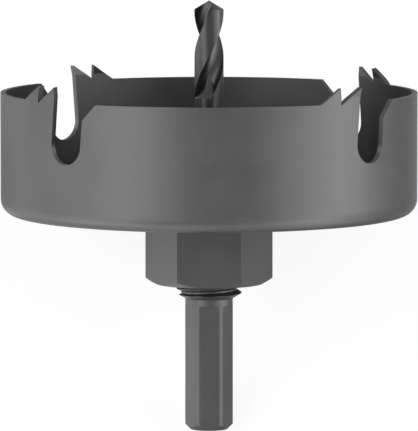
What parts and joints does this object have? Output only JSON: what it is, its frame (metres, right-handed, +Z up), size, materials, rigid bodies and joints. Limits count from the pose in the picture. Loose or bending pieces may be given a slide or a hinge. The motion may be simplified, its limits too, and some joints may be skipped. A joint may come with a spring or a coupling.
{
  "type": "hole saw",
  "caption": "Dark coated hole saw: a shallow toothed steel cup locked by a hexagon nut on a hexagon shank, with a pilot drill through its middle.",
  "frame": {"origin": "on the floor, under the middle of the tool's box as it lies on the cup's edge and the shank's end", "axes": "+Z up from the floor; +X to the right across the cup; the saw's axis lies in the YZ plane, with the shank towards -Y on the floor and the drill pointing up towards +Y"},
  "size_m": [0.102, 0.0994, 0.0959],
  "materials": {
    "cup_coating": "dark grey satin coating on steel",
    "arbor_steel": "dark grey satin coating on turned steel",
    "drill_steel": "dark oxide on ground steel",
    "screw_steel": "black oxide"
  },
  "bodies": {
    "root": {"saw_cup": "cup_coating", "arbor": "arbor_steel", "hex_nut": "arbor_steel", "pilot_drill": "drill_steel", "grub_screw": "screw_steel"}
  },
  "joints": []
}
